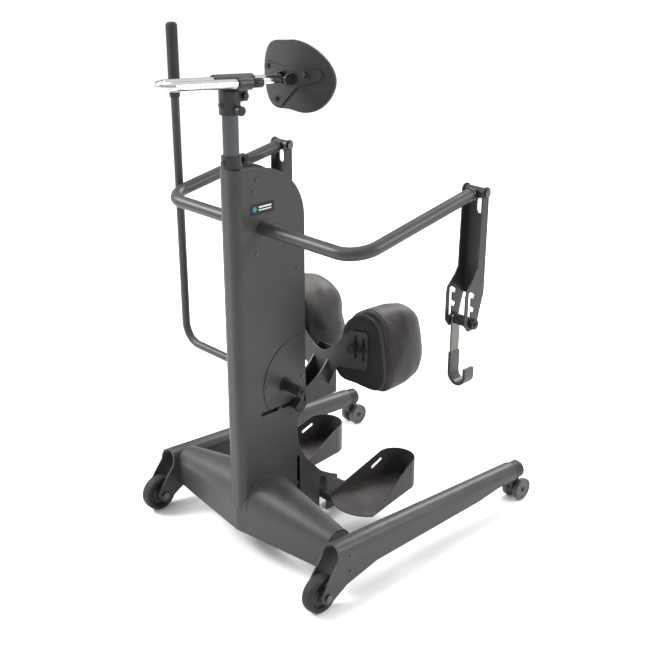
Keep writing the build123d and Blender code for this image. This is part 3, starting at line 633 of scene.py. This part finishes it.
def frame_of(axis: Vector) -> tuple[Vector, Vector]:
    """Find two directions square to an axis and to each other.

    Args:
        axis: the axis, of length 1.

    Returns:
        The two directions.
    """
    helper = Vector((0, 0, 1)) if abs(axis.z) < 0.9 else Vector((0, 1, 0))
    across = axis.cross(helper).normalized()
    return across, axis.cross(across).normalized()


def lathe(name: str, centre: Vector, axis: Vector, profile: Outline, sides: int = 72) -> Piece:
    """Turn a closed profile round an axis.

    Args:
        name: the piece's name.
        centre: a point on the axis.
        axis: the axis' direction.
        profile: (radius, distance along the axis) points of a closed outline.
        sides: number of steps round.

    Returns:
        The turned piece.
    """
    axis = axis.normalized()
    u, v = frame_of(axis)
    points, faces = [], []
    count = len(profile)
    for step in range(sides):
        turn = 2 * math.pi * step / sides
        out = u * math.cos(turn) + v * math.sin(turn)
        points += [centre + out * radius + axis * along for radius, along in profile]
    for step in range(sides):
        here, there = step * count, (step + 1) % sides * count
        for k in range(count):
            n = (k + 1) % count
            faces.append((here + k, here + n, there + n, there + k))
    return new_piece(name, points, faces)


def rounded(outline: Outline, radius: float, steps: int = 5) -> list[tuple[float, float]]:
    """A closed outline with each corner rounded.

    Args:
        outline: the corners.
        radius: the largest rounding; short sides get less.
        steps: points along each rounding.

    Returns:
        The rounded outline.
    """
    result = []
    count = len(outline)
    for k in range(count):
        before, here, after = (Vector(outline[(k + j) % count]) for j in (-1, 0, 1))
        back, ahead = before - here, after - here
        cut = min(radius, back.length * 0.45, ahead.length * 0.45)
        start, end = here + back.normalized() * cut, here + ahead.normalized() * cut
        for step in range(steps + 1):
            t = step / steps
            point = start * (1 - t) ** 2 + here * 2 * t * (1 - t) + end * t**2
            result.append((point.x, point.y))
    return result


def ring(name: str, path: Sequence[Vector], radius: float) -> Piece:
    """A round bead along a closed path of points.

    Args:
        name: the piece's name.
        path: the points of its middle line.
        radius: the bead's radius.

    Returns:
        The bead.
    """
    count = len(path)
    points, faces = [], []
    across: Optional[Vector] = None
    for k, here in enumerate(path):
        axis = (path[(k + 1) % count] - path[k - 1]).normalized()
        if across is None:
            across = frame_of(axis)[0]
        across = (across - axis * across.dot(axis)).normalized()
        up = axis.cross(across)
        for side in range(BEAD_SIDES):
            turn = 2 * math.pi * side / BEAD_SIDES
            points.append(here + (across * math.cos(turn) + up * math.sin(turn)) * radius)
    for k in range(count):
        here, there = k * BEAD_SIDES, (k + 1) % count * BEAD_SIDES
        for side in range(BEAD_SIDES):
            n = (side + 1) % BEAD_SIDES
            faces.append((here + side, here + n, there + n, there + side))
    return new_piece(name, points, faces)


def copy_mesh(node: str, name: str, shrink: float) -> Piece:
    """A new object with a CAD node's shape, made a little smaller about its middle.

    Args:
        node: the CAD node that is copied.
        name: the new piece's name.
        shrink: distance that each side moves in, in metres.

    Returns:
        The new object.
    """
    low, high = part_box(node)
    middle, size = (low + high) / 2, high - low
    piece = bpy.data.objects.new(name, NODES[node].data.copy())
    piece.data.materials.clear()
    bpy.context.scene.collection.objects.link(piece)
    for vertex in piece.data.vertices:
        for k in range(3):
            vertex.co[k] = middle[k] + (vertex.co[k] - middle[k]) * (1 - 2 * shrink / size[k])
    return piece


def apply_modifiers(piece: Piece) -> None:
    """Turn a piece's modifiers into its mesh.

    Args:
        piece: the object; its modifiers are removed.
    """
    graph = bpy.context.evaluated_depsgraph_get()
    made = bpy.data.meshes.new_from_object(piece.evaluated_get(graph))
    piece.modifiers.clear()
    piece.data = made


@dataclass
class Stuffing:
    """How a cushion is blown up from its plain shape."""

    voxel: float = 0.005
    pressure: float = 4.0
    frames: int = 20
    cap: float = 0.006
    smooth: int = 3

    def fill(self, piece: Piece) -> None:
        """Remesh, inflate and smooth a piece.

        Args:
            piece: the plain closed shape; its mesh is replaced.
        """
        remesh = piece.modifiers.new("remesh", "REMESH")
        remesh.mode = "VOXEL"
        remesh.voxel_size = self.voxel
        apply_modifiers(piece)
        rest = [v.co.copy() for v in piece.data.vertices]
        self.inflate(piece)
        for vertex, start in zip(piece.data.vertices, rest):
            move = vertex.co - start
            if move.length > self.cap:
                vertex.co = start + move.normalized() * self.cap
        smooth = piece.modifiers.new("smooth", "SMOOTH")
        smooth.iterations = self.smooth
        smooth.factor = 0.5
        divide = piece.modifiers.new("divide", "SUBSURF")
        divide.levels = divide.render_levels = 1
        apply_modifiers(piece)
        for face in piece.data.polygons:
            face.use_smooth = True

    def inflate(self, piece: Piece) -> None:
        """Run the cloth simulation under pressure and keep its last frame.

        Args:
            piece: the remeshed shape; its mesh is replaced.
        """
        cloth = piece.modifiers.new("cloth", "CLOTH")
        cloth.settings.use_pressure = True
        cloth.settings.uniform_pressure_force = self.pressure
        cloth.settings.effector_weights.gravity = 0.0
        cloth.settings.quality = 5
        cloth.point_cache.frame_start = 1
        cloth.point_cache.frame_end = self.frames
        scene = bpy.context.scene
        for step in range(1, self.frames + 1):
            scene.frame_set(step)
        apply_modifiers(piece)
        scene.frame_set(1)


def section_loop(piece: Piece, point: Vector, normal: Vector) -> list[Vector]:
    """The longest loop where a plane cuts a piece.

    Args:
        piece: the mesh that is cut; it isn't changed.
        point: a point on the plane.
        normal: the plane's normal.

    Returns:
        The loop's points in order.
    """
    work = bmesh.new()
    work.from_mesh(piece.data)
    everything = work.verts[:] + work.edges[:] + work.faces[:]
    cut = bmesh.ops.bisect_plane(work, geom=everything, plane_co=point, plane_no=normal)
    links: dict[int, list[int]] = {}
    places: dict[int, Vector] = {}
    work.verts.index_update()
    for edge in (e for e in cut["geom_cut"] if isinstance(e, bmesh.types.BMEdge)):
        a, b = edge.verts
        places[a.index], places[b.index] = a.co.copy(), b.co.copy()
        links.setdefault(a.index, []).append(b.index)
        links.setdefault(b.index, []).append(a.index)
    work.free()
    best: list[Vector] = []
    seen: set[int] = set()
    for start in links:
        if start in seen:
            continue
        loop, here, back = [start], start, None
        seen.add(start)
        while True:
            onward = [n for n in links[here] if n != back and n not in seen]
            if not onward:
                break
            back, here = here, onward[0]
            seen.add(here)
            loop.append(here)
        if len(loop) > len(best):
            best = [places[k] for k in loop]
    return best


def even_loop(loop: Sequence[Vector], count: int) -> list[Vector]:
    """The same closed loop with evenly spaced, slightly smoothed points.

    Args:
        loop: the loop's points.
        count: number of points in the result.

    Returns:
        The new points.
    """
    lengths = [0.0]
    closed = list(loop) + [loop[0]]
    for a, b in zip(closed, closed[1:]):
        lengths.append(lengths[-1] + (b - a).length)
    result, k = [], 0
    for step in range(count):
        target = lengths[-1] * step / count
        while lengths[k + 1] < target:
            k += 1
        span = lengths[k + 1] - lengths[k]
        t = (target - lengths[k]) / span if span > 1e-9 else 0.0
        result.append(closed[k].lerp(closed[k + 1], t))
    for _ in range(4):
        result = [(result[i - 1] + result[i] * 2 + result[(i + 1) % count]) / 4 for i in range(count)]
    return result


def settle(piece: Piece, body: str, slot: str, finish: Finish, *nodes: str) -> Piece:
    """Dress a new piece, put it on its body and hide the CAD nodes that it stands for.

    Args:
        piece: the new piece.
        body: the body it rides on.
        slot: the name of a material slot; it is not used.
        finish: its finish.
        nodes: CAD nodes that it replaces.

    Returns:
        The same piece.
    """
    PAINT.coat(piece, finish)
    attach(piece, body)
    if nodes:
        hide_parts(*nodes)
    LOG.info("piece %s on %s: %s", piece.name, body, finish.value.name)
    return piece


# ---- sub-assemblies -----------------------------------------------------------------------------
@dataclass
class Base:
    """Legs, crossbeam, axle bolts and the beads that join them."""

    bead: float = 0.0018
    bead_points: int = 220
    past_mast: float = 0.0332   # the inner bead lies this far from the middle, just outside the mast
    before_leg: float = 0.0012  # the outer bead lies this far short of the crossbeam's end

    def dress(self) -> None:
        """Coat the base's nodes."""
        for part in ("leg", "crossbeam"):
            PAINT.coat_nodes(Finish.GREY_COAT, [f"{part}_{side}" for side in SIDES])
        PAINT.coat_nodes(Finish.BLACK_PLASTIC, [f"leg_insert_{side}" for side in SIDES])
        PAINT.coat_nodes(Finish.SCREW_STEEL, ["rear_axles", "frame_screws"])
        for side in reversed(SIDES):
            beam = NODES[f"crossbeam_{side}"]
            low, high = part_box(beam.name)
            for place, inset in (("mast", self.past_mast), ("leg", high.x - low.x - self.before_leg)):
                loop = section_loop(beam, ACROSS * (WAYS[side] * inset), ACROSS)
                bead = self.weld(f"bead_{place}_{side}", even_loop(loop, self.bead_points))
                settle(bead, "frame", "grey_coat", Finish.GREY_COAT)

    def weld(self, name: str, path: Sequence[Vector]) -> Piece:
        """A weld bead with its ripples.

        Args:
            name: the bead's name.
            path: its closed middle line.

        Returns:
            The bead.
        """
        bead = ring(name, path, self.bead)
        for vertex in bead.data.vertices:
            step = vertex.index // BEAD_SIDES
            middle = path[step]
            ripple = 1.0 + 0.16 * math.sin(step * 1.9) + 0.12 * noise.noise(middle * 160)
            vertex.co = middle + (vertex.co - middle) * ripple
        return bead


@dataclass
class Wheels:
    """Rear wheels with their tyres and cores, and casters with two wheels each."""

    tyre_round: float = 0.009
    tyre_half: float = 0.016
    tyre_seat: float = 0.70      # inner radius of the tyre, as a share of the wheel's
    core_bore: float = 0.0064
    caster_width: float = 0.015
    caster_gap: float = 0.011    # half the space between the two wheels of a caster

    def rear(self, side: str) -> None:
        """Build one rear wheel from its CAD node's box.

        Args:
            side: "left" or "right".
        """
        node = f"rear_wheel_{side}"
        low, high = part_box(node)
        middle, radius = (low + high) / 2, (high.z - low.z) / 2
        half, seat = self.tyre_half, self.tyre_seat
        crown = []
        for step in range(13):
            turn = math.pi * (step / 12 - 0.5)
            crown.append((radius - self.tyre_round * (1 - math.cos(turn) ** 0.6), half * math.sin(turn)))
        inner = radius * (seat - 0.02)
        tyre = [(radius * seat, -half * 0.86), *crown, (radius * seat, half * 0.86)]
        tyre += [(inner, half * 0.6), (inner, -half * 0.6)]
        turned = lathe(f"tyre_{side}", middle, ACROSS, rounded(tyre, 0.0015, 2), 96)
        settle(turned, node, "tyre_black", Finish.TYRE, node)
        r = radius * (seat - 0.005)
        core = [(r, half * 0.7), (r * 0.93, half * 0.8), (r * 0.90, half * 0.5), (r * 0.62, half * 0.34)]
        core += [(r * 0.46, half * 0.5), (r * 0.43, half * 1.05), (self.core_bore, half * 1.05)]
        core = [(r, -half * 0.7), *core, *[(out, -along) for out, along in reversed(core[1:])]]
        turned = lathe(f"wheel_core_{side}", middle, ACROSS, rounded(core, 0.0012, 3), 96)
        settle(turned, node, "tyre_black", Finish.WHEEL_CORE)

    def caster(self, side: str) -> None:
        """Build the two wheels of one caster.

        Args:
            side: "left" or "right".
        """
        node = f"caster_wheels_{side}"
        low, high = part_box(node)
        middle, radius = (low + high) / 2, (high.z - low.z) / 2
        width = self.caster_width
        for k, way in enumerate((-1, 1)):
            centre = middle + ACROSS * (way * self.caster_gap)
            outline = [(radius * 0.2, 0.001), (radius, 0.0), (radius, width), (radius * 0.80, width)]
            outline += [(radius * 0.76, width * 0.86), (radius * 0.3, width * 0.86)]
            outline += [(radius * 0.27, width), (radius * 0.2, width)]
            turned = [(out, way * along) for out, along in rounded(outline, 0.003, 4)]
            wheel = lathe(f"caster_wheel_{side}_{k}", centre, ACROSS, turned, 64)
            settle(wheel, node, "caster_grey", Finish.CASTER_PLASTIC, *((node,) if k == 0 else ()))

    def dress(self) -> None:
        """Build all wheels and coat the caster forks."""
        for side in SIDES:
            self.rear(side)
            self.caster(side)
        PAINT.coat_nodes(Finish.BLACK_PLASTIC, [f"caster_fork_{side}" for side in SIDES])


@dataclass
class Mast:
    """The mast, its covers, collar and label, and the hydraulics inside."""

    def dress(self) -> None:
        """Coat the mast's nodes and print its label."""
        PAINT.coat_nodes(Finish.GREY_COAT, ["mast_shell", "pump_cover"])
        PAINT.coat_nodes(Finish.COVER_COAT, ["mast_front_cover"])
        PAINT.coat_nodes(Finish.CLAMP_PLASTIC, ["post_collar", "collar_lever"])
        PAINT.coat_nodes(Finish.BLACK_PLASTIC, ["pump_bush"])
        PAINT.coat_nodes(Finish.BARE_STEEL, ["lift_cylinder", "pump_block", "ram_rod", "pump_piston"])
        label = PrintedLabel("printed_label", *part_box("label_plate"))
        PAINT.dress(NODES["label_plate"], label.make())


@dataclass
class LiftArms:
    """The arms with their cross shaft, forks, hangers, ribbed rollers and strap hooks."""

    rib: float = 0.0007          # height of a rib over the roller
    rib_sink: float = 0.0006
    rib_first: float = 0.0205    # from the hub's outer face to the first rib
    rib_pitch: float = 0.0058
    rib_count: int = 7

    def roller(self, side: str) -> None:
        """Add the ribs of the roller that carries the strap hook.

        Args:
            side: "left" or "right".
        """
        low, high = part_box(f"strap_bar_{side}")
        middle, radius = (low + high) / 2, (high.z - low.z) / 2
        way = WAYS[side]
        outer = high.x if side == "right" else low.x
        foot, top = radius - self.rib_sink, radius + self.rib
        section = rounded([(foot, -0.0014), (top, -0.001), (top, 0.001), (foot, 0.0014)], 0.0006, 2)
        for k in range(self.rib_count):
            x = outer - way * (self.rib_first + k * self.rib_pitch)
            rib = lathe(f"roller_rib_{side}_{k}", Vector((x, middle.y, middle.z)), ACROSS, section, 48)
            settle(rib, f"hook_{side}", "black_plastic", Finish.BLACK_PLASTIC)

    def dress(self) -> None:
        """Coat the arms' nodes."""
        PAINT.coat_nodes(Finish.GREY_COAT, [f"arm_{side}" for side in SIDES])
        for part in ("arm_fork", "hanger"):
            PAINT.coat_nodes(Finish.CHARCOAL_COAT, [f"{part}_{side}" for side in SIDES])
        PAINT.coat_nodes(Finish.BARE_STEEL, ["arm_shaft", "arm_crank"])
        PAINT.coat_nodes(Finish.SCREW_STEEL, ["arm_bolts"])
        PAINT.coat_nodes(Finish.BLACK_PLASTIC, [f"strap_bar_{side}" for side in SIDES])
        for side in SIDES:
            self.roller(side)
        PAINT.coat_nodes(Finish.HOOK_COAT, [f"strap_hook_{side}" for side in SIDES])


@dataclass
class Pump:
    """The pump handle, its crank and its foam grip."""

    def dress(self) -> None:
        """Coat the pump's nodes."""
        PAINT.coat_nodes(Finish.GREY_COAT, ["pump_handle"])
        PAINT.coat_nodes(Finish.FOAM, ["pump_grip"])
        PAINT.coat_nodes(Finish.BLACK_PLASTIC, ["pump_crank"])


@dataclass
class Head:
    """The post, its clamp, the chest bar and its sleeves."""

    bar_fall: float = 4.5        # the chest bar falls this many degrees towards the pad
    plug_root: Vector = field(default_factory=lambda: Vector((0.042, -0.2873, 1.236)))
    plug_radius: float = 0.0109
    plug_start: float = 0.0332
    plug_end: float = 0.0668

    def end_plug(self) -> None:
        """Cover the free end of the chest bar with its domed plug."""
        fall = math.radians(self.bar_fall)
        way = Vector((0.0, math.cos(fall), -math.sin(fall)))
        radius, end = self.plug_radius, self.plug_end
        skin = [(0.0, self.plug_start), (radius, self.plug_start), (radius, end - 0.0028)]
        skin += [(radius - 0.0005, end - 0.0014), (radius - 0.0023, end - 0.0004), (0.0, end)]
        plug = lathe("chest_bar_plug", self.plug_root, way, skin, 48)
        settle(plug, "chest_bar", "black_plastic", Finish.BLACK_PLASTIC)

    def dress(self) -> None:
        """Coat the head's nodes."""
        self.end_plug()
        PAINT.coat_nodes(Finish.POST_STEEL, ["post"])
        PAINT.coat_nodes(Finish.CLAMP_PLASTIC, ["head_clamp", "head_tee"])
        PAINT.coat_nodes(Finish.BLACK_PLASTIC, ["head_knob"])
        PAINT.coat_nodes(Finish.CHROME, ["chest_bar"])


@dataclass
class ChestPad:
    """The chest pad: a moulded shell with a stuffed cushion."""

    stuffing: Stuffing = field(default_factory=lambda: Stuffing(voxel=0.004, cap=0.004))
    shrink: float = 0.003
    fullness: float = 0.8

    def dress(self) -> None:
        """Coat the shell and build the cushion."""
        PAINT.coat_nodes(Finish.SHELL_PLASTIC, ["chest_shell"])
        PAINT.coat_nodes(Finish.PLATE_COAT, ["chest_bracket"])
        cushion = copy_mesh("chest_cushion", "chest_cushion_soft", self.shrink)
        self.stuffing.fill(cushion)
        settle(cushion, "chest_pad", "pad_vinyl", Finish.PAD_VINYL, "chest_cushion")


@dataclass
class KneeSupport:
    """The knee pads on their saddle, with the carriage and its knob."""

    stuffing: Stuffing = field(default_factory=lambda: Stuffing(voxel=0.005, cap=0.008, smooth=14))
    shrink: float = -0.001       # the cushion starts this much smaller than its CAD shape
    fullness: float = 0.85
    seam: float = 0.0012
    seam_depth: float = 0.012    # from the pad's back to its seam
    seam_points: int = 160
    rim_share: float = 0.82      # size of the line on the board, as a share of the pad's outline
    board_y: float = 0.0030

    def pad(self, side: str) -> None:
        """Build one stuffed knee pad, its seam and the line on its board.

        Args:
            side: "left" or "right".
        """
        node = f"knee_pad_{side}"
        low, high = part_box(node)
        pad = copy_mesh(node, f"knee_cushion_{side}", self.shrink)
        self.stuffing.fill(pad)
        settle(pad, node, "pad_vinyl", Finish.PAD_VINYL, node)
        cut = section_loop(pad, Vector((0, low.y + self.seam_depth, 0)), Vector((0, 1, 0)))
        rim = even_loop(cut, self.seam_points)
        settle(ring(f"knee_seam_{side}", rim, self.seam), node, "pad_vinyl", Finish.PIPING)
        middle = sum(rim, Vector()) / len(rim)
        inner = [middle + (point - middle) * self.rim_share for point in rim]
        for point in inner:
            point.y = self.board_y
        line = ring(f"knee_rim_{side}", inner, self.seam)
        settle(line, node, "black_plastic", Finish.BOARD_PLASTIC)

    def dress(self) -> None:
        """Coat the carriage and build both pads."""
        PAINT.coat_nodes(Finish.GREY_COAT, ["knee_saddle", "knee_carriage"])
        PAINT.coat_nodes(Finish.BLACK_PLASTIC, ["knee_knob"])
        PAINT.coat_nodes(Finish.BOARD_PLASTIC, [f"knee_back_{side}" for side in SIDES])
        for side in SIDES:
            self.pad(side)


@dataclass
class FootSupport:
    """The foot trays on their carriage."""

    def dress(self) -> None:
        """Coat the trays and the carriage."""
        PAINT.coat_nodes(Finish.TRAY_COAT, [f"foot_tray_{side}" for side in SIDES])
        PAINT.coat_nodes(Finish.GREY_COAT, ["foot_carriage"])
        PAINT.coat_nodes(Finish.BLACK_PLASTIC, ["foot_knob"])


@dataclass
class Studio:
    """Floor, lights and camera."""

    lens: float = 61.3
    sensor: float = 36.0
    camera_at: Vector = field(default_factory=lambda: Vector((1.9608, -1.8582, 1.663)))
    look: Vector = field(default_factory=lambda: Vector((-0.6699, 0.6401, -0.3762)))
    reach: float = 60.0          # half the floor's width
    wall: float = 0.10           # brightness of the walls
    ceiling: float = 1.05        # brightness overhead and at the horizon

    def floor(self) -> None:
        """Lay the pale floor."""
        ways = ((-1, -1), (1, -1), (1, 1), (-1, 1))
        corners = [Vector((x * self.reach, y * self.reach, 0)) for x, y in ways]
        floor = new_piece("studio_floor", corners, [(0, 1, 2, 3)], False)
        g = Graph("studio_paper")
        g.feed(Base_Color=g.mix(g.noise(2.0), (0.90, 0.90, 0.90), (0.94, 0.94, 0.94)))
        g.set(Roughness=0.7)
        PAINT.dress(floor, g.material)

    def camera(self) -> None:
        """Set up the camera."""
        camera = bpy.data.objects.new("camera", bpy.data.cameras.new("camera"))
        camera.data.lens = self.lens
        camera.data.sensor_width = self.sensor
        camera.data.clip_end = 100.0
        forward = self.look.normalized()
        right = forward.cross(Vector((0, 0, 1))).normalized()
        up = right.cross(forward)
        turn = Matrix((right, up, -forward)).transposed().to_4x4()
        camera.matrix_world = Matrix.Translation(self.camera_at) @ turn
        bpy.context.scene.collection.objects.link(camera)
        bpy.context.scene.camera = camera

    def build(self) -> None:
        """Add the floor, the lights, the surroundings and the camera."""
        self.floor()
        sky = Sky("studio_air")
        sky.shade(self.wall, self.ceiling)
        bpy.context.scene.world = sky.world
        bpy.context.scene.view_settings.view_transform = "Standard"
        self.sun("daylight", (-0.5, -0.2, 1.0), 70.0, 1.05)
        self.lamp("key", (-2.4, -1.9, 2.6), 1.2, 150.0)
        self.lamp("fill", (2.8, 1.6, 2.2), 1.3, 80.0)
        self.lamp("rim", (-0.6, 3.0, 2.8), 1.3, 100.0)
        self.camera()

    @staticmethod
    def sun(name: str, towards: tuple[float, float, float], angle: float, power: float) -> None:
        """Add an even light from one direction.

        Args:
            name: the light's name.
            towards: the direction in which the light lies.
            angle: how wide it looks, in degrees.
            power: its strength in watts to the square metre.
        """
        light = bpy.data.lights.new(name, "SUN")
        light.energy = power
        light.angle = math.radians(angle)
        piece = bpy.data.objects.new(name, light)
        piece.rotation_euler = Vector(towards).to_track_quat("Z", "Y").to_euler()
        bpy.context.scene.collection.objects.link(piece)

    @staticmethod
    def lamp(name: str, place: tuple[float, float, float], size: float, power: float) -> None:
        """Add one soft square light that looks at the lift's middle.

        Args:
            name: the light's name.
            place: where it hangs.
            size: length of its sides.
            power: its power in watts.
        """
        light = bpy.data.lights.new(name, "AREA")
        light.shape = "SQUARE"
        light.size = size
        light.energy = power
        piece = bpy.data.objects.new(name, light)
        piece.location = place
        aim = Vector((0, 0, 0.6)) - Vector(place)
        piece.rotation_euler = aim.to_track_quat("-Z", "Y").to_euler()
        bpy.context.scene.collection.objects.link(piece)


def main() -> None:
    """Build the lift's looks, one sub-assembly after another."""
    logging.basicConfig(level=logging.INFO, format="%(name)s %(message)s")
    supports = (ChestPad(), KneeSupport(), FootSupport())
    for assembly in (Base(), Wheels(), Mast(), LiftArms(), Pump(), Head(), *supports):
        LOG.info("%s", type(assembly).__name__)
        assembly.dress()
    Studio().build()


if __name__ == "__main__":
    main()
